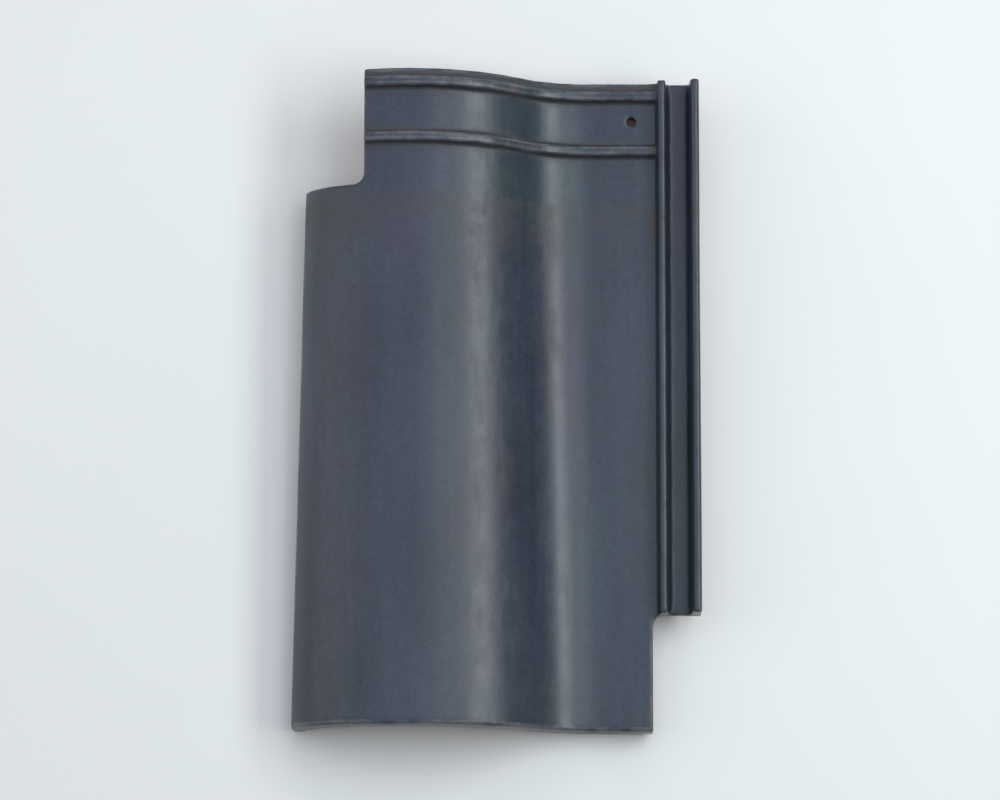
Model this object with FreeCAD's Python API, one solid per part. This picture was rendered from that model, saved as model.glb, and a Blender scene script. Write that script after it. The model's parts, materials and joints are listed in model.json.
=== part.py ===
"""One single-roll interlocking clay pantile, in millimetres.

The tile is modelled in its own plane: x runs across it from the cover lip at the left, y runs up the slope from the
tail, and z stands square to the underside of the pan. At the end it is turned to the way it lies on a level floor.
"""

import FreeCAD
import Part
import math
import os

Vector = FreeCAD.Vector

# Laying sizes
COVER_WIDTH = 206.0
GAUGE = 340.0
HEAD_LAP = 70.0
WALL = 11.0

# Roll section, from the cover lip at the left to the pan at the right
PAN_WIDTH_AT_TAIL = 54.0
ROLL_FLARE = 7.4
SHOULDER_RADIUS = 47.0
PAN_FILLET_RADIUS = 56.0
LIP_ANGLE = 70.8
SHOULDER_ANGLE = 21.7
FLANK_ANGLE = 46.0
LIP_CLEARANCE = 1.5

# Tail foot, and the ribs across the head lap
FOOT_DROP = 7.0
FOOT_LENGTH = 15.0
CROSS_RIB_WIDTH = 7.0
CROSS_RIB_CLEARANCE = 1.0
CROSS_RIB_GAP = 2.0
REAR_RIB_INSET = 6.0
FRONT_RIB_INSET = 41.0

# Side lock, from the cover line outwards
LOCK_RIB_WIDTH = 7.0
LOCK_GAP = 3.0
LOCK_RIB_DRAFT = 4.0
INNER_RIB_HEIGHT = 10.0
OUTER_RIB_HEIGHT = 15.0
CHANNEL_FLOOR = 7.0
COVER_RIB_TIP = 14.0
COVER_RIB_DRAFT = 4.0

# Corner cut-outs
CUT_CLEARANCE = 3.0
CUT_CORNER_RADIUS = 7.0

# Hanging nib and nail hole
NIB_WIDTH = 52.0
NIB_DEPTH = 18.0
NIB_THICKNESS = 16.0
NIB_HEAD_INSET = 2.0
NIB_PAN_INSET = 2.0
NIB_DRAFT = 8.0
NAIL_HOLE_RADIUS = 2.75
NAIL_TO_NIB = 7.0

# Edge rounding
TAIL_ARRIS_RADIUS = 2.5
HEAD_ARRIS_RADIUS = 2.0
LIP_ARRIS_RADIUS = 2.0
RIB_ARRIS_RADIUS = 2.0
NIB_ARRIS_RADIUS = 3.0
ARRIS_STEPS = 3

# How closely the resting contacts are found
CONTACT_TOLERANCE = 0.05
SETTLING_STEPS = 6


def sine_and_cosine(angle):
    return math.sin(math.radians(angle)), math.cos(math.radians(angle))


LIP_SIN = sine_and_cosine(LIP_ANGLE)[0]
SHOULDER_SIN, SHOULDER_COS = sine_and_cosine(SHOULDER_ANGLE)
FLANK_SIN, FLANK_COS = sine_and_cosine(FLANK_ANGLE)

# Places along the tile
LENGTH = GAUGE + HEAD_LAP
REAR_RIB_START = LENGTH - REAR_RIB_INSET - CROSS_RIB_WIDTH
FRONT_RIB_START = LENGTH - FRONT_RIB_INSET - CROSS_RIB_WIDTH
UNDER_RIB_START = FRONT_RIB_START + CROSS_RIB_WIDTH + CROSS_RIB_GAP - GAUGE
NIB_FRONT = LENGTH - NIB_HEAD_INSET - NIB_THICKNESS
NAIL_HOLE_Y = NIB_FRONT - NAIL_TO_NIB
HEAD_CUT_START = GAUGE - CUT_CLEARANCE
TAIL_CUT_END = HEAD_LAP + CUT_CLEARANCE

# Places across the tile: the lock's are measured from the neighbour's lip line at its tail
LIP_THICKNESS = WALL * LIP_SIN
INNER_RIB_START = ROLL_FLARE + LIP_THICKNESS + LOCK_GAP
INNER_RIB_END = INNER_RIB_START + LOCK_RIB_WIDTH
COVER_RIB_START = INNER_RIB_END + LOCK_GAP
COVER_RIB_END = COVER_RIB_START + LOCK_RIB_WIDTH
OUTER_RIB_START = COVER_RIB_END + LOCK_GAP
OUTER_RIB_END = OUTER_RIB_START + LOCK_RIB_WIDTH
PAN_EDGE = COVER_WIDTH + INNER_RIB_START - CUT_CLEARANCE
OVERALL_WIDTH = COVER_WIDTH + OUTER_RIB_END

# Heights
PAN_TOP = WALL
LIP_BOTTOM = PAN_TOP + LIP_CLEARANCE
CROSS_RIB_HEIGHT = FOOT_DROP - CROSS_RIB_CLEARANCE

# Cutting tools reach this far past what they cut, and edges are picked with this much room
OVERCUT = 20.0
PICKING_ROOM = 0.5


class Section:
    """The roll's tangent arcs at a distance y from the tail. The roll flares towards the tail on both sides."""

    def __init__(self, y):
        flare = ROLL_FLARE * y / GAUGE
        shoulder_run = SHOULDER_RADIUS * (LIP_SIN - SHOULDER_SIN)
        width = COVER_WIDTH - PAN_WIDTH_AT_TAIL - 2.0 * flare
        radius = (width - shoulder_run) / (SHOULDER_SIN + FLANK_SIN)
        reach = radius + PAN_FILLET_RADIUS
        inset = radius - SHOULDER_RADIUS
        crown_x = flare + shoulder_run + radius * SHOULDER_SIN
        crown_z = PAN_TOP + reach * (1.0 - FLANK_COS) - radius
        self.y = y
        self.radius = radius
        self.crown = (crown_x, crown_z)
        self.shoulder = (crown_x - inset * SHOULDER_SIN, crown_z + inset * SHOULDER_COS)
        self.fillet = (crown_x + reach * FLANK_SIN, PAN_TOP + PAN_FILLET_RADIUS)

    def arc(self, centre, radius, start, end, lift):
        """An arc between two angles, each measured to the right of straight up."""
        points = []
        for angle in (start, 0.5 * (start + end), end):
            across, up = sine_and_cosine(angle)
            points.append(Vector(centre[0] + radius * across, self.y, centre[1] + radius * up + lift))
        return Part.Arc(*points).toShape()

    def roll(self, depth, lift):
        """Shoulder, crown and pan fillet from left to right, at a depth under the top face and lifted."""
        return [
            self.arc(self.shoulder, SHOULDER_RADIUS - depth, -LIP_ANGLE, -SHOULDER_ANGLE, lift),
            self.arc(self.crown, self.radius - depth, -SHOULDER_ANGLE, FLANK_ANGLE, lift),
            self.arc(self.fillet, PAN_FILLET_RADIUS + depth, 180.0 + FLANK_ANGLE, 180.0, lift),
        ]


def face_line(y, depth, lift, right):
    """The edges of a face of the wall at y, from the lip to the right-hand end."""
    arcs = Section(y).roll(depth, lift)
    pan_start = arcs[-1].valueAt(arcs[-1].LastParameter)
    return arcs + [Part.makeLine(pan_start, Vector(right, y, pan_start.z))]


def lip_edges(outer, inner):
    """The lip's outer face, underside and inner face, with both bottom corners rounded."""
    y = outer.y
    radius = LIP_ARRIS_RADIUS
    bulge = radius * (1.0 - math.sqrt(0.5))
    outer_arc = [(outer.x, radius), (outer.x + bulge, bulge), (outer.x + radius, 0.0)]
    inner_arc = [(inner.x - radius, 0.0), (inner.x - bulge, bulge), (inner.x, radius)]
    arcs = [[Vector(x, y, LIP_BOTTOM + z) for x, z in points] for points in (outer_arc, inner_arc)]
    edges = [Part.makeLine(outer, arcs[0][0]), Part.makeLine(arcs[0][2], arcs[1][0]), Part.makeLine(arcs[1][2], inner)]
    return edges + [Part.Arc(*points).toShape() for points in arcs]


def closed_section(y, top, low, right):
    """A closed section between two faces of the wall, each given as its depth and lift."""
    upper = face_line(y, top[0], top[1], right)
    lower = face_line(y, low[0], low[1], right)
    lip = lip_edges(upper[0].valueAt(upper[0].FirstParameter), lower[0].valueAt(lower[0].FirstParameter))
    right_end = Part.makeLine(upper[-1].valueAt(upper[-1].LastParameter), lower[-1].valueAt(lower[-1].LastParameter))
    return Part.Wire(Part.__sortEdges__(upper + lower + lip + [right_end]))


def arris(radius):
    """Steps round a quarter circle, each as the distance in from the end and the depth below the face."""
    turns = [0.5 * math.pi * step / ARRIS_STEPS for step in range(ARRIS_STEPS + 1)]
    return [(radius * (1.0 - math.cos(turn)), radius * (1.0 - math.sin(turn))) for turn in turns]


def band(start, end, right, top_lift=0.0, low_lift=0.0, start_arris=(0.0, 0.0), end_arris=(0.0, 0.0)):
    """The wall between two distances from the tail, with its top face raised or its underside lowered.

    An end's arris gives the rounding of its top edge and of its bottom edge.
    """
    stations = {start: (0.0, 0.0), end: (0.0, 0.0)}
    for place, way, radii in ((start, 1.0, start_arris), (end, -1.0, end_arris)):
        longest = max(radii)
        for run, depth in arris(longest) if longest else []:
            stations[place + way * run] = tuple(depth if radius else 0.0 for radius in radii)
    sections = []
    for y in sorted(stations):
        top_depth, low_depth = stations[y]
        sections.append(closed_section(y, (top_depth, top_lift), (WALL - low_depth, low_lift), right))
    return Part.makeLoft(sections, True, True)


def prism(outline, start, end):
    """An outline of (x, z) corners carried along the tile."""
    corners = [Vector(x, start, z) for x, z in outline]
    face = Part.Face(Part.makePolygon(corners + corners[:1]))
    return face.extrude(Vector(0.0, end - start, 0.0))


def block(x, y, z):
    """A box between a pair of limits along each axis."""
    return Part.makeBox(x[1] - x[0], y[1] - y[0], z[1] - z[0], Vector(x[0], y[0], z[0]))


def long_edges(solid, x_min, x_max, z_min, z_max):
    """Edges along the tile whose whole length lies within limits across it and in height."""
    found = []
    for edge in solid.Edges:
        bounds = edge.BoundBox
        inside = x_min < bounds.XMin and bounds.XMax < x_max and z_min < bounds.ZMin and bounds.ZMax < z_max
        if inside and bounds.YLength > CUT_CORNER_RADIUS:
            found.append(edge)
    return found


def top_rib(start, right):
    """A rib across the top face at the head."""
    rounding = (RIB_ARRIS_RADIUS, 0.0)
    return band(start, start + CROSS_RIB_WIDTH, right, CROSS_RIB_HEIGHT, 0.0, rounding, rounding)


def under_rib(start, right):
    """A rib across the underside, near the tail."""
    rounding = (0.0, RIB_ARRIS_RADIUS)
    return band(start, start + CROSS_RIB_WIDTH, right, 0.0, -CROSS_RIB_HEIGHT, rounding, rounding)


def side_lock():
    """The flange under the right-hand neighbour's lip: an inner rib, a drained channel and an outer rib."""
    lean = math.tan(math.radians(LOCK_RIB_DRAFT))
    inner_top = PAN_TOP + INNER_RIB_HEIGHT
    outer_top = PAN_TOP + OUTER_RIB_HEIGHT
    inner_left = COVER_WIDTH + INNER_RIB_START
    inner_right = COVER_WIDTH + INNER_RIB_END
    outer_left = COVER_WIDTH + OUTER_RIB_START
    outline = [
        (PAN_EDGE, 0.0),
        (OVERALL_WIDTH, 0.0),
        (OVERALL_WIDTH, outer_top),
        (outer_left + lean * (outer_top - CHANNEL_FLOOR), outer_top),
        (outer_left, CHANNEL_FLOOR),
        (inner_right, CHANNEL_FLOOR),
        (inner_right - lean * (inner_top - CHANNEL_FLOOR), inner_top),
        (inner_left + lean * INNER_RIB_HEIGHT, inner_top),
        (inner_left, PAN_TOP),
        (PAN_EDGE, PAN_TOP),
    ]
    flange = prism(outline, 0.0, LENGTH)
    lowest_rounded = CHANNEL_FLOOR - PICKING_ROOM
    rounded = long_edges(flange, PAN_EDGE + LIP_CLEARANCE, OVERALL_WIDTH + OVERCUT, lowest_rounded, LENGTH)
    return flange.makeFillet(RIB_ARRIS_RADIUS, rounded)


def roll_top():
    """The height of the roll's crown at the tail, where it is highest."""
    tail = Section(0.0)
    return tail.crown[1] + tail.radius


def cover_rib_lean():
    """How much further out each side of the cover rib is at the height of the crown than at its tip."""
    return math.tan(math.radians(COVER_RIB_DRAFT)) * (roll_top() - COVER_RIB_TIP)


def cover_rib():
    """The rib under the roll's left shoulder that stands in the left-hand neighbour's channel."""
    lean = cover_rib_lean()
    outline = [
        (COVER_RIB_START, COVER_RIB_TIP),
        (COVER_RIB_END, COVER_RIB_TIP),
        (COVER_RIB_END + lean, roll_top()),
        (COVER_RIB_START - lean, roll_top()),
    ]
    rib = prism(outline, TAIL_ARRIS_RADIUS, LENGTH)
    tip_edges = long_edges(rib, 0.0, LENGTH, 0.0, COVER_RIB_TIP + PICKING_ROOM)
    return rib.makeFillet(RIB_ARRIS_RADIUS, tip_edges).common(under_wall())


def under_wall():
    """Everything below the middle of the wall, for ending ribs inside it."""
    right = COVER_WIDTH
    sections = []
    for y in (0.0, LENGTH):
        edges = face_line(y, 0.5 * WALL, 0.0, right)
        left = edges[0].valueAt(edges[0].FirstParameter)
        corners = [left, Vector(left.x, y, -NIB_DEPTH), Vector(right, y, -NIB_DEPTH), Vector(right, y, 0.5 * WALL)]
        edges += [Part.makeLine(a, b) for a, b in zip(corners, corners[1:])]
        sections.append(Part.Wire(Part.__sortEdges__(edges)))
    return Part.makeLoft(sections, True, True)


def nib():
    """The nib under the pan at the head. Its face towards the tail is flat and bears on the batten."""
    lean = math.tan(math.radians(NIB_DRAFT)) * NIB_DEPTH
    left = Section(LENGTH).fillet[0] + NIB_PAN_INSET
    right = left + NIB_WIDTH
    outline = [(left, 0.0), (right, 0.0), (right - lean, -NIB_DEPTH), (left + lean, -NIB_DEPTH)]
    solid = prism(outline, NIB_FRONT, NIB_FRONT + NIB_THICKNESS)
    behind = NIB_FRONT + PICKING_ROOM
    rounded = [e for e in solid.Edges if e.BoundBox.ZMin < -0.5 * NIB_DEPTH and e.BoundBox.YMax > behind]
    return solid.makeFillet(NIB_ARRIS_RADIUS, rounded)


def corner_cut(x, y, corner):
    """A tool that takes a corner off the tile, with a rounded inner corner at the given (x, y)."""
    tool = block(x, y, (-LENGTH, LENGTH))
    upright = [e for e in tool.Edges if (e.CenterOfMass - Vector(corner[0], corner[1], 0.0)).Length < CUT_CLEARANCE]
    return tool.makeFillet(CUT_CORNER_RADIUS, upright)


def pantile():
    """The whole tile, in its own plane."""
    wall = band(TAIL_ARRIS_RADIUS, LENGTH, PAN_EDGE, end_arris=(HEAD_ARRIS_RADIUS, HEAD_ARRIS_RADIUS))
    foot = band(
        0.0,
        FOOT_LENGTH,
        PAN_EDGE,
        low_lift=-FOOT_DROP,
        start_arris=(TAIL_ARRIS_RADIUS, TAIL_ARRIS_RADIUS),
        end_arris=(0.0, TAIL_ARRIS_RADIUS),
    )
    rib_end = COVER_WIDTH + 0.5 * (INNER_RIB_START + INNER_RIB_END)
    ribs = [top_rib(REAR_RIB_START, rib_end), top_rib(FRONT_RIB_START, rib_end), under_rib(UNDER_RIB_START, PAN_EDGE)]
    tile = wall.fuse([foot] + ribs + [cover_rib(), side_lock(), nib()])
    head_cut_x = COVER_RIB_END + cover_rib_lean() + CUT_CLEARANCE
    head_cut = corner_cut((-OVERCUT, head_cut_x), (HEAD_CUT_START, LENGTH + OVERCUT), (head_cut_x, HEAD_CUT_START))
    tail_cut = corner_cut((PAN_EDGE, OVERALL_WIDTH + OVERCUT), (-OVERCUT, TAIL_CUT_END), (PAN_EDGE, TAIL_CUT_END))
    nail_x = Section(LENGTH).fillet[0] + NIB_PAN_INSET + 0.5 * NIB_WIDTH
    nail_hole = Part.makeCylinder(NAIL_HOLE_RADIUS, 2.0 * WALL, Vector(nail_x, NAIL_HOLE_Y, -0.5 * WALL))
    return tile.cut([head_cut, tail_cut, nail_hole]).removeSplitter()


def lowest(points, up):
    return min(points, key=lambda point: point.dot(up))


def resting_rotation(tile):
    """Turns the tile to lie on the three points it rests on: its cover lip, its tail foot and its nib."""
    points = tile.tessellate(CONTACT_TOLERANCE)[0]
    lip = [p for p in points if p.x < COVER_RIB_START]
    foot = [p for p in points if p.x > COVER_RIB_START and p.y < 0.5 * LENGTH]
    nib_points = [p for p in points if p.x > COVER_RIB_START and p.y > 0.5 * LENGTH]
    up = Vector(0.0, 0.0, 1.0)
    for step in range(SETTLING_STEPS):
        a, b, c = (lowest(group, up) for group in (lip, foot, nib_points))
        up = (b - a).cross(c - a).normalize()
    return FreeCAD.Rotation(up, Vector(0.0, 0.0, 1.0))


def laid_down(tile):
    """The tile at rest on a level floor at z = 0, with the middle of its footprint at the origin."""
    turned = tile.copy()
    turned.Placement = FreeCAD.Placement(Vector(), resting_rotation(tile))
    bounds = turned.optimalBoundingBox(False, False)
    turned.translate(Vector(-bounds.Center.x, -bounds.Center.y, -bounds.ZMin))
    return turned


os.makedirs("parts", exist_ok=True)
laid_down(pantile()).exportStep("parts/pantile.step")
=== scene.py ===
"""The looks of one interlocking clay pantile: fired clay under a satin slate-blue engobe, on a pale floor."""

import json
import math

import bmesh
import bpy
from mathutils import Matrix, Vector, noise
from mathutils.bvhtree import BVHTree
from mathutils.kdtree import KDTree

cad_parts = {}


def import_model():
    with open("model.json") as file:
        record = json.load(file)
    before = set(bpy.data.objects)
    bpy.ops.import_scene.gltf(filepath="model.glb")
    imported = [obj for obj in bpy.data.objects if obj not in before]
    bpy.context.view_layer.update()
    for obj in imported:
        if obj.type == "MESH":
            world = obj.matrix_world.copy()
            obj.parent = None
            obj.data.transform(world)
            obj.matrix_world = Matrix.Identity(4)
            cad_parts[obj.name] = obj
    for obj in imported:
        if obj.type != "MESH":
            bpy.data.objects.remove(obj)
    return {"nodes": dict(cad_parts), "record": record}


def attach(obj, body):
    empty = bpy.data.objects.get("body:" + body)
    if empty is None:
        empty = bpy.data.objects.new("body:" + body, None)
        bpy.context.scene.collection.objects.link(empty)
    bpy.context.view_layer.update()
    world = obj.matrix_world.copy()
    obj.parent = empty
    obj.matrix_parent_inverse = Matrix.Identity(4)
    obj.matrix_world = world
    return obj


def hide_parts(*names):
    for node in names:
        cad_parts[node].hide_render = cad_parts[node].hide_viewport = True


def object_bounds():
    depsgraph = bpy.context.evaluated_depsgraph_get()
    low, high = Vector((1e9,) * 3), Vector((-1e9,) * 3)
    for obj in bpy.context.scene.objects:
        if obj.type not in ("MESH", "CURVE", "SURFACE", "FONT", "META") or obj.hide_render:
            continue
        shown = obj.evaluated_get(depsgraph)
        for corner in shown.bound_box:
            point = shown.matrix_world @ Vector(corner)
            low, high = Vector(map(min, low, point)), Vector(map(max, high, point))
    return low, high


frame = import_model()
CAD_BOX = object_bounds()

MILLIMETRE = 0.001

# Visual mesh: fine voxels, smoothed away from the corners, then thinned
VOXEL = 1.0 * MILLIMETRE
SMOOTHING_ROUNDS = 24
CORNER_SMOOTHING = 0.14
CORNER_REACH = (1.5 * MILLIMETRE, 6.0 * MILLIMETRE)
TRIANGLES = 190000

# Corners of the solid, found by the angle between its facets
CORNER_ANGLE = math.radians(13.0)
CORNER_STEP = 1.0 * MILLIMETRE
WELD = 0.001 * MILLIMETRE

# Unevenness of pressed and fired clay, as depth and length, always inwards so that the piece stays in its box
WARP = (0.36 * MILLIMETRE, 75.0 * MILLIMETRE)
RIPPLE = (0.06 * MILLIMETRE, 14.0 * MILLIMETRE)
WORN_ARRIS = (0.45 * MILLIMETRE, 7.0 * MILLIMETRE)
ARRIS_REACH = 2.5 * MILLIMETRE

# Engobe spray: rings of directions about the tile's own upright, by their tilt in degrees
SPRAY_TILTS = (0.0, 25.0, 50.0, 72.0)
SPRAY_TURNS = 6
RAY_LIFT = 0.15 * MILLIMETRE

# Edge of the engobe: the exposures at which it starts and covers fully, and how much two noises shift them
SPRAY_EDGE = (-0.015, 0.035)
GRAIN_IN_SPRAY = 0.05
DRIFT_IN_SPRAY = 0.06

# Wear of the arrises, with a painted highlight on them: how near them the engobe is thin and painted paler as
# a highlight, or chipped, and how unevenly
RUB_UNEVENNESS = 4.5 * MILLIMETRE
THIN_AND_HIGHLIGHT_REACH = 1.3 * MILLIMETRE
THIN_AND_HIGHLIGHT_SHARE = 0.70
CHIP_REACH = (-0.8 * MILLIMETRE, 0.4 * MILLIMETRE)
CHIP_GRAIN = (0.52, 0.60)

# Dirt that runs off below the tail of the tile above, whose line is measured from the nail hole to the head
LAP_LINE = -45.0 * MILLIMETRE
LAP_UNEVENNESS = 12.0 * MILLIMETRE
RUN_OFF_START = 7.0 * MILLIMETRE
RUN_OFF_LENGTH = 60.0 * MILLIMETRE
RUN_OFF_STREAKS = (0.36, 0.66)
RUN_OFF_SHARES = (0.18, 0.52)

# Thin film of dirt on all that lies open to the weather
FILM_START = 10.0 * MILLIMETRE
FILM_STREAKS = (0.48, 0.70)
FILM_SHARE = 0.22

# Dirt in the creases, and the patches that all dirt comes in
CREASE_REACH = (2.0 * MILLIMETRE, 9.0 * MILLIMETRE)
CREASE_UNEVENNESS = 6.0 * MILLIMETRE
CREASE_SHARE = 0.65
DIRT_PATCHES = (0.42, 0.85)
GRAIN_IN_DIRT = 0.4

# Colours of the engobe, the clay and what is on and in them
SLATE = (0.0272, 0.0352, 0.0560)
VIOLET_SLATE = (0.0320, 0.0325, 0.0590)
GREEN_SLATE = (0.0262, 0.0400, 0.0510)
# Paler grey-blue along the arrises: thin engobe, and a painted highlight on them
THIN_ENGOBE_AND_HIGHLIGHT = (0.120, 0.122, 0.138)
RED_CLAY = (0.330, 0.128, 0.066)
PALE_CLAY = (0.420, 0.205, 0.120)
BURNT_CLAY = (0.220, 0.086, 0.050)
GROG = (0.44, 0.30, 0.20)
MINERAL = (0.012, 0.014, 0.020)
DIRT = (0.060, 0.047, 0.034)

# Noise patterns, drawn out along the tile where along is under 1
GRAIN = {"size": 1.1 * MILLIMETRE, "detail": 2.0, "roughness": 0.7}
DRIFT = {"size": 16.0 * MILLIMETRE, "detail": 4.0, "roughness": 0.6}
CLOUDS = {"size": 75.0 * MILLIMETRE, "detail": 4.0, "roughness": 0.6, "warp": 0.4, "along": 0.45}
FLASHES = {"size": 110.0 * MILLIMETRE, "detail": 4.0, "roughness": 0.6, "warp": 0.5}
STREAKS = {"size": 9.0 * MILLIMETRE, "detail": 4.0, "roughness": 0.65, "along": 0.12}
SAND = {"size": 0.7 * MILLIMETRE, "roughness": 0.8}
PEEL = {"size": 2.3 * MILLIMETRE, "detail": 2.0, "roughness": 0.5}

# Values that most of a noise lies between, and its middle
NOISE_RANGE = (0.3, 0.7)
DRIFT_RANGE = (0.25, 0.75)
NOISE_MIDDLE = 0.5

# Colours by the value of a noise
CLOUD_COLOURS = ((0.34, VIOLET_SLATE), (0.46, SLATE), (0.54, SLATE), (0.66, GREEN_SLATE))
FLASH_COLOURS = ((0.32, BURNT_CLAY), (0.52, RED_CLAY), (0.70, PALE_CLAY))

# Noises that darken and lighten a colour, each with its lowest and highest factor
ENGOBE_SHADES = (
    ({"size": 45.0 * MILLIMETRE, "roughness": 0.5, "along": 0.4}, (0.83, 1.17)),
    ({"size": 5.5 * MILLIMETRE, "roughness": 0.6, "along": 0.05}, (0.92, 1.08)),
    ({"size": 4.2 * MILLIMETRE, "roughness": 0.6}, (0.91, 1.09)),
    ({"size": 1.0 * MILLIMETRE, "detail": 2.0, "roughness": 0.7}, (0.80, 1.20)),
)
CLAY_SHADES = (
    ({"size": 12.0 * MILLIMETRE}, (0.90, 1.08)),
    ({"size": 0.8 * MILLIMETRE, "roughness": 0.75}, (0.74, 1.22)),
)

# Scattered dots, with the radii of their core and rim in parts of their spacing
SPECKS = {"spacing": 7.0 * MILLIMETRE, "core": 0.03, "rim": 0.06, "share": 0.28}
GROG_GRAINS = {"spacing": 6.5 * MILLIMETRE, "core": 0.07, "rim": 0.12, "share": 0.55}

# Gloss and relief
ENGOBE_ROUGHNESS = (0.28, 0.36)
CLAY_ROUGHNESS = 0.88
DIRT_ROUGHNESS = 0.72
SAND_DEPTH = 0.22 * MILLIMETRE
PEEL_DEPTH = 0.03 * MILLIMETRE

# Softboxes: turn and tilt in degrees as in direction(), distance, width and height, level and colour
SOFTBOXES = {
    "key": (9.0, 50.0, 1.6, (0.42, 1.5), 6.6, (0.95, 1.0, 1.0)),
    "wing": (20.0, 29.0, 1.6, (0.56, 1.5), 1.75, (0.88, 1.0, 0.99)),
    "left": (173.0, 58.0, 1.6, (1.6, 1.5), 1.14, (0.96, 1.0, 1.0)),
    "top": (90.0, 9.0, 2.2, (2.1, 2.2), 1.22, (0.70, 0.80, 1.0)),
    "head": (90.0, 58.0, 1.9, (1.6, 0.9), 1.3, (1.0, 0.98, 0.93)),
    "tail": (-90.0, 62.0, 1.9, (1.6, 0.7), 0.6, (1.0, 0.98, 0.93)),
}

# Dim light all round
AMBIENT_COLOUR = (1.0, 1.0, 0.98, 1.0)
AMBIENT_LEVEL = 0.17

# Floor
FLOOR_HALF = 3.0
FLOOR_COLOUR = (0.80, 0.80, 0.79)
FLOOR_SHADE = ({"size": 250.0 * MILLIMETRE}, (0.985, 1.0))
FLOOR_GRAIN = {"size": 4.0 * MILLIMETRE}
FLOOR_GRAIN_DEPTH = 0.02 * MILLIMETRE
FLOOR_ROUGHNESS = 0.85

# Camera, placed like the softboxes. Its sensor is in millimetres, as Blender has it.
CAMERA_TURN = -90.0
CAMERA_TILT = 9.0
CAMERA_DISTANCE = 3.2
VIEW_WIDTH = 0.62
SENSOR_WIDTH = 36.0

# A Mix node's two inputs and its output, by what it mixes
MIX_SOCKETS = {"FLOAT": (2, 3, 0), "VECTOR": (4, 5, 1), "RGBA": (6, 7, 2)}


def tile_axes():
    """The tile's own axes and nail hole, from its mounts: across, along to the head, and up from the pan."""
    mounts = {m["name"]: m for m in frame["record"]["mounts"]}
    up = Vector(mounts["nail_hole"]["axis"])
    along = -Vector(mounts["nib_face"]["axis"])
    across = along.cross(up)
    return across, along, up, Vector(mounts["nail_hole"]["pos_m"])


ACROSS, ALONG, UP, NAIL_HOLE = tile_axes()


def direction(turn, tilt):
    """A direction by its turn from the right towards the head, and its tilt from the upright, in degrees."""
    turn, tilt = math.radians(turn), math.radians(tilt)
    side = ACROSS * math.cos(turn) + ALONG * math.sin(turn)
    return UP * math.cos(tilt) + side * math.sin(tilt)


def link(name, data):
    """A new object in the scene."""
    made = bpy.data.objects.new(name, data)
    bpy.context.scene.collection.objects.link(made)
    return made


def corner_points(solid):
    """Points along the solid's corners: those that stand out, and those that lie in a hollow."""
    shape = bmesh.new()
    shape.from_mesh(solid.data)
    bmesh.ops.remove_doubles(shape, verts=shape.verts, dist=WELD)
    outer, inner = [], []
    for edge in shape.edges:
        angle = edge.calc_face_angle_signed(0.0)
        if abs(angle) > CORNER_ANGLE:
            a, b = (v.co for v in edge.verts)
            steps = math.ceil((b - a).length / CORNER_STEP)
            found = outer if angle > 0.0 else inner
            found.extend(a.lerp(b, i / steps) for i in range(steps + 1))
    shape.free()
    return outer, inner


def tree_of(points):
    tree = KDTree(len(points))
    for i, point in enumerate(points):
        tree.insert(point, i)
    tree.balance()
    return tree


def bake_modifiers(piece):
    """Applies the piece's modifiers to its mesh."""
    evaluated = piece.evaluated_get(bpy.context.evaluated_depsgraph_get())
    mesh = bpy.data.meshes.new_from_object(evaluated)
    piece.modifiers.clear()
    piece.data = mesh


def remeshed(solid):
    """A copy of the solid in fine voxels."""
    piece = link("fired_pantile", solid.data.copy())
    piece.data.materials.clear()
    remesh = piece.modifiers.new("remesh", "REMESH")
    remesh.mode = "VOXEL"
    remesh.voxel_size = VOXEL
    bake_modifiers(piece)
    return piece


def smoothstep(value, low, high):
    t = min(max((value - low) / (high - low), 0.0), 1.0)
    return t * t * (3.0 - 2.0 * t)


def soften(piece, corners):
    """Smooths the broad faces well and the corners a little, then thins the mesh."""
    group = piece.vertex_groups.new(name="broad")
    for vertex in piece.data.vertices:
        away = smoothstep(corners.find(vertex.co)[2], *CORNER_REACH)
        group.add([vertex.index], CORNER_SMOOTHING + (1.0 - CORNER_SMOOTHING) * away, "REPLACE")
    smooth = piece.modifiers.new("smooth", "SMOOTH")
    smooth.iterations = SMOOTHING_ROUNDS
    smooth.vertex_group = group.name
    thin = piece.modifiers.new("thin", "DECIMATE")
    thin.ratio = TRIANGLES / (2 * len(piece.data.polygons))
    bake_modifiers(piece)
    piece.vertex_groups.clear()
    piece.data.shade_smooth()


def store(piece, name, values):
    """Stores a number on each vertex, for the material."""
    layer = piece.data.attributes.new(name, "FLOAT", "POINT")
    layer.data.foreach_set("value", values)


def store_corners(piece, outer, inner):
    """Stores how far each vertex is from a corner that stands out, and from one in a hollow."""
    places = [v.co for v in piece.data.vertices]
    to_arris = [outer.find(p)[2] for p in places]
    store(piece, "to_arris", to_arris)
    store(piece, "to_crease", [inner.find(p)[2] for p in places])
    return to_arris


def uneven_depth(place, depth, length):
    """A depth from 0 to the given one, which varies over the given length."""
    return depth * (0.5 + 0.5 * noise.noise(place / length))


def press_in(piece, to_arris):
    """Moves the surface in a little, as pressing, drying and firing do, and wears the arrises unevenly."""
    low, high = CAD_BOX
    normals = [v.normal.copy() for v in piece.data.vertices]
    for vertex, normal, distance in zip(piece.data.vertices, normals, to_arris):
        depth = uneven_depth(vertex.co, *WARP) + uneven_depth(vertex.co, *RIPPLE)
        depth += uneven_depth(vertex.co, *WORN_ARRIS) * max(0.0, 1.0 - distance / ARRIS_REACH)
        moved = vertex.co - normal * depth
        vertex.co = [min(max(c, a), b) for c, a, b in zip(moved, low, high)]


def spray_directions():
    """Directions that the engobe is sprayed from, in rings that are each turned a little further."""
    found = []
    for tilt in SPRAY_TILTS:
        turns = SPRAY_TURNS if tilt else 1
        found.extend(direction(360.0 * i / turns + tilt, tilt) for i in range(turns))
    return found


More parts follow.
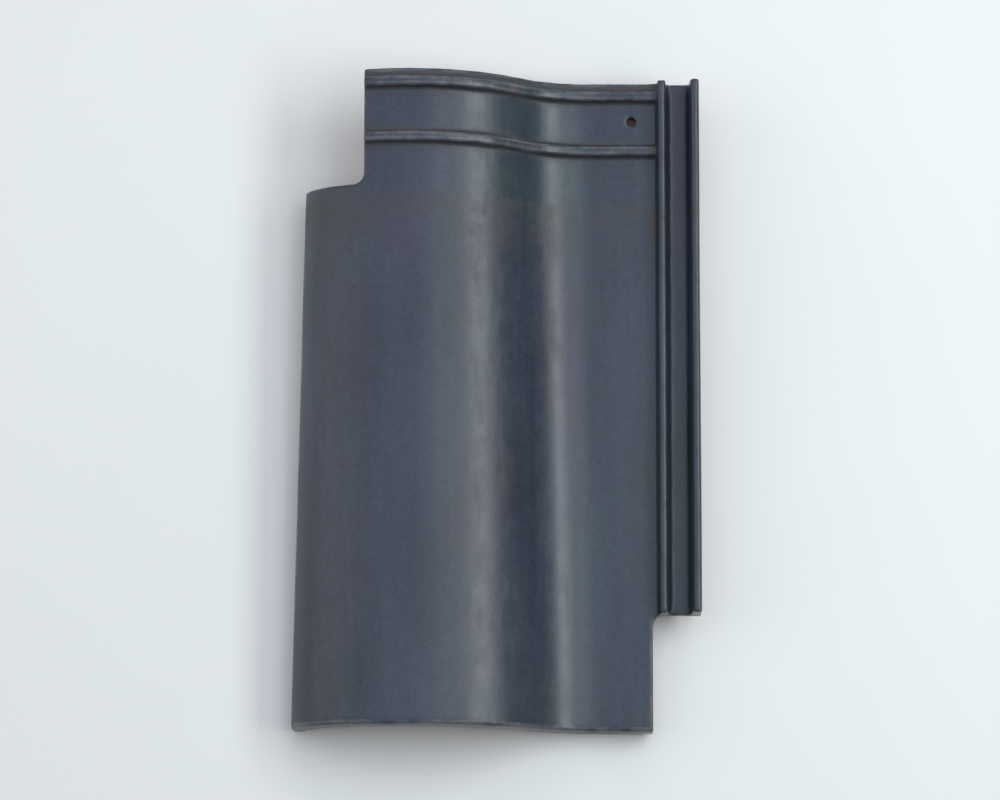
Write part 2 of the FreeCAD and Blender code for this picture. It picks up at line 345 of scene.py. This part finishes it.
def store_exposure(piece):
    """Stores how much of the spray reaches each vertex."""
    tree = BVHTree.FromObject(piece, bpy.context.evaluated_depsgraph_get())
    directions = spray_directions()
    values = []
    for vertex in piece.data.vertices:
        start = vertex.co + vertex.normal * RAY_LIFT
        reached = 0.0
        for spray in directions:
            facing = vertex.normal.dot(spray)
            if facing > 0.0 and tree.ray_cast(start, spray)[0] is None:
                reached += facing
        values.append(reached / len(directions))
    store(piece, "exposure", values)


class Finish:
    """A material's nodes, made by short calls that each give back an output."""

    def __init__(self, name):
        self.material = bpy.data.materials.new(name)
        self.material.use_nodes = True
        self.tree = self.material.node_tree
        self.tree.nodes.clear()
        self.place = self.node("TexCoord").outputs["Object"]

    def node(self, kind, settings=(), inputs=()):
        made = self.tree.nodes.new("ShaderNode" + kind)
        for name, value in dict(settings).items():
            setattr(made, name, value)
        for name, value in dict(inputs).items():
            self.feed(made.inputs[name], value)
        return made

    def feed(self, socket, value):
        if isinstance(value, bpy.types.NodeSocket):
            self.tree.links.new(value, socket)
        else:
            socket.default_value = value

    def attribute(self, name):
        return self.node("Attribute", {"attribute_name": name}).outputs["Fac"]

    def noise(self, size, detail=3.0, roughness=0.55, warp=0.0, along=1.0):
        """Noise whose grains are about size metres across."""
        place = self.place
        if along != 1.0:
            place = self.node("Mapping", inputs={"Vector": place, "Scale": (1.0, along, 1.0)}).outputs[0]
        values = {"Vector": place, "Scale": 1.0 / size, "Detail": detail}
        values.update({"Roughness": roughness, "Distortion": warp})
        return self.node("TexNoise", inputs=values).outputs["Fac"]

    def dots(self, spacing, core, rim, share):
        """Scattered dots, with the given share inside their core and nothing beyond their rim."""
        values = {"Vector": self.place, "Scale": 1.0 / spacing}
        distance = self.node("TexVoronoi", inputs=values).outputs["Distance"]
        return self.times(self.span(distance, core, rim, 1.0, 0.0), share)

    def math(self, operation, a, b):
        return self.node("Math", {"operation": operation}, {0: a, 1: b}).outputs[0]

    def plus(self, a, b):
        return self.math("ADD", a, b)

    def minus(self, a, b):
        return self.math("SUBTRACT", a, b)

    def times(self, a, b):
        return self.math("MULTIPLY", a, b)

    def larger(self, a, b):
        return self.math("MAXIMUM", a, b)

    def span(self, value, low, high, start=0.0, end=1.0):
        """Start where the value is below low, end where it is above high, and smoothly changing between."""
        values = {"Value": value, "From Min": low, "From Max": high, "To Min": start, "To Max": end}
        return self.node("MapRange", {"interpolation_type": "SMOOTHSTEP"}, values).outputs["Result"]

    def ramp(self, value, stops):
        """The colours of the stops by the value."""
        made = self.node("ValToRGB", inputs={"Fac": value})
        elements = made.color_ramp.elements
        while len(elements) < len(stops):
            elements.new(position=0.5)
        for element, (position, colour) in zip(elements, stops):
            element.position = position
            element.color = (*colour, 1.0)
        return made.outputs["Color"]

    def mix(self, share, a, b, kind="RGBA", blend="MIX"):
        """The first turned into the second by share."""
        made = self.node("Mix", {"data_type": kind, "blend_type": blend}, {0: share})
        first, second, result = MIX_SOCKETS[kind]
        for index, value in ((first, a), (second, b)):
            self.feed(made.inputs[index], (*value, 1.0) if isinstance(value, tuple) else value)
        return made.outputs[result]

    def shade(self, colour, pattern, factors):
        """The colour times a factor that goes from the first to the second with the pattern."""
        factor = self.span(self.noise(**pattern), *NOISE_RANGE, *factors)
        grey = self.node("CombineXYZ", inputs={0: factor, 1: factor, 2: factor}).outputs[0]
        return self.mix(1.0, colour, grey, blend="MULTIPLY")

    def along_from_nail(self):
        """Metres along the tile from the nail hole, towards the head."""
        from_nail = self.node("VectorMath", {"operation": "SUBTRACT"}, {0: self.place, 1: NAIL_HOLE})
        values = {0: from_nail.outputs[0], 1: ALONG}
        return self.node("VectorMath", {"operation": "DOT_PRODUCT"}, values).outputs["Value"]

    def bump(self, pattern, depth):
        """The pattern as a relief of depth metres."""
        values = {"Height": self.noise(**pattern), "Distance": depth, "Strength": 1.0}
        return self.node("Bump", inputs=values).outputs["Normal"]

    def surface(self, colour, roughness, normal):
        values = {"Base Color": colour, "Roughness": roughness, "Normal": normal}
        shader = self.node("BsdfPrincipled", inputs=values)
        self.node("OutputMaterial", inputs={"Surface": shader.outputs[0]})
        return self.material


def engobe_colour(f):
    """Slate blue that drifts to violet and to green-grey, in clouds drawn out along the tile."""
    colour = f.ramp(f.noise(**CLOUDS), CLOUD_COLOURS)
    for pattern, factors in ENGOBE_SHADES:
        colour = f.shade(colour, pattern, factors)
    return f.mix(f.dots(**SPECKS), colour, MINERAL)


def clay_colour(f):
    """Red-brown clay with paler and darker flashes from the kiln, sandy grain and scattered grog."""
    colour = f.ramp(f.noise(**FLASHES), FLASH_COLOURS)
    for pattern, factors in CLAY_SHADES:
        colour = f.shade(colour, pattern, factors)
    return f.mix(f.dots(**GROG_GRAINS), colour, GROG)


def engobe_cover(f, grain, drift, rub):
    """Share of engobe: none where the spray did not reach, nor in the chips along the arrises."""
    mottle = f.plus(f.times(grain, GRAIN_IN_SPRAY), f.times(drift, DRIFT_IN_SPRAY))
    sprayed = f.span(f.minus(f.attribute("exposure"), mottle), *SPRAY_EDGE)
    chips = f.times(f.span(rub, *CHIP_REACH, 1.0, 0.0), f.span(grain, *CHIP_GRAIN))
    return f.times(sprayed, f.minus(1.0, chips))


def dirt_share(f, grain, drift):
    """Share of dirt: the most of run-off below the lap line, dirt in the creases, and a film."""
    streaks = f.noise(**STREAKS)
    below_lap = f.minus(LAP_LINE, f.plus(f.along_from_nail(), f.times(drift, LAP_UNEVENNESS)))
    run_off = f.times(f.span(below_lap, 0.0, RUN_OFF_START), f.span(below_lap, 0.0, RUN_OFF_LENGTH, 1.0, 0.0))
    run_off = f.times(run_off, f.span(streaks, *RUN_OFF_STREAKS, *RUN_OFF_SHARES))
    to_crease = f.plus(f.attribute("to_crease"), f.times(streaks, CREASE_UNEVENNESS))
    crease = f.span(to_crease, *CREASE_REACH, CREASE_SHARE, 0.0)
    film = f.times(f.span(streaks, *FILM_STREAKS, 0.0, FILM_SHARE), f.span(below_lap, 0.0, FILM_START))
    patches = f.span(f.plus(drift, f.times(grain, GRAIN_IN_DIRT)), *DIRT_PATCHES)
    return f.times(f.larger(f.larger(run_off, crease), film), patches)


def engobed_clay():
    """The tile's one finish: engobe where the spray reached, with dirt on it, and bare clay elsewhere."""
    f = Finish("engobed_clay")
    grain = f.noise(**GRAIN)
    drift = f.noise(**DRIFT)
    rub = f.plus(f.attribute("to_arris"), f.times(f.minus(drift, NOISE_MIDDLE), RUB_UNEVENNESS))
    # Share of the paler grey-blue along the arrises: thin engobe, and a painted highlight
    thin = f.span(rub, 0.0, THIN_AND_HIGHLIGHT_REACH, THIN_AND_HIGHLIGHT_SHARE, 0.0)
    cover = engobe_cover(f, grain, drift, rub)
    dirt = f.times(dirt_share(f, grain, drift), cover)

    engobe = f.mix(thin, engobe_colour(f), THIN_ENGOBE_AND_HIGHLIGHT)
    colour = f.mix(dirt, f.mix(cover, clay_colour(f), engobe), DIRT)
    satin = f.span(drift, *DRIFT_RANGE, *ENGOBE_ROUGHNESS)
    roughness = f.mix(cover, CLAY_ROUGHNESS, satin, "FLOAT")
    roughness = f.mix(dirt, roughness, DIRT_ROUGHNESS, "FLOAT")
    normal = f.mix(cover, f.bump(SAND, SAND_DEPTH), f.bump(PEEL, PEEL_DEPTH), "VECTOR")
    return f.surface(colour, roughness, normal)


def fired_pantile():
    """The tile as it is seen, in place of its solid."""
    solid = frame["nodes"]["pantile"]
    outer, inner = corner_points(solid)
    piece = remeshed(solid)
    soften(piece, tree_of(outer + inner))
    press_in(piece, store_corners(piece, tree_of(outer), tree_of(inner)))
    store_exposure(piece)
    piece.data.materials.append(engobed_clay())
    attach(piece, "root")
    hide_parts("pantile")


def place_facing(name, data, centre, turn, tilt, distance):
    """Puts a lamp or a camera at a distance from the centre, facing it."""
    back = direction(turn, tilt)
    side = ALONG.cross(back).normalized()
    made = link(name, data)
    made.location = centre + back * distance
    made.rotation_mode = "QUATERNION"
    made.rotation_quaternion = Matrix((side, back.cross(side), back)).transposed().to_quaternion()
    return made


def lights(centre):
    """Softboxes whose faces shine at their level, where 1 is the white that lights a plain scene."""
    for name, (turn, tilt, distance, size, level, colour) in SOFTBOXES.items():
        lamp = bpy.data.lights.new(name, "AREA")
        lamp.shape = "RECTANGLE"
        lamp.size, lamp.size_y = size
        lamp.energy = level * math.pi * lamp.size * lamp.size_y
        lamp.color = colour
        place_facing(name, lamp, centre, turn, tilt, distance)


def world():
    scene = bpy.context.scene
    scene.world = bpy.data.worlds.new("studio")
    scene.world.use_nodes = True
    back = scene.world.node_tree.nodes["Background"]
    back.inputs["Color"].default_value = AMBIENT_COLOUR
    back.inputs["Strength"].default_value = AMBIENT_LEVEL


def floor():
    mesh = bpy.data.meshes.new("floor")
    corners = [(x * FLOOR_HALF, y * FLOOR_HALF, 0.0) for x, y in ((-1, -1), (1, -1), (1, 1), (-1, 1))]
    mesh.from_pydata(corners, [], [range(len(corners))])
    f = Finish("floor")
    pale = f.shade(FLOOR_COLOUR, *FLOOR_SHADE)
    mesh.materials.append(f.surface(pale, FLOOR_ROUGHNESS, f.bump(FLOOR_GRAIN, FLOOR_GRAIN_DEPTH)))
    link("floor", mesh)


def camera(centre):
    """Looks down on the tile from a little towards its tail, as the photograph does."""
    data = bpy.data.cameras.new("camera")
    data.sensor_width = SENSOR_WIDTH
    data.lens = SENSOR_WIDTH * CAMERA_DISTANCE / VIEW_WIDTH
    holder = place_facing("camera", data, centre, CAMERA_TURN, CAMERA_TILT, CAMERA_DISTANCE)
    bpy.context.scene.camera = holder


fired_pantile()
low, high = CAD_BOX
middle = (low + high) / 2.0
camera(middle)
lights(middle)
world()
floor()
bpy.context.scene.view_settings.view_transform = "Standard"
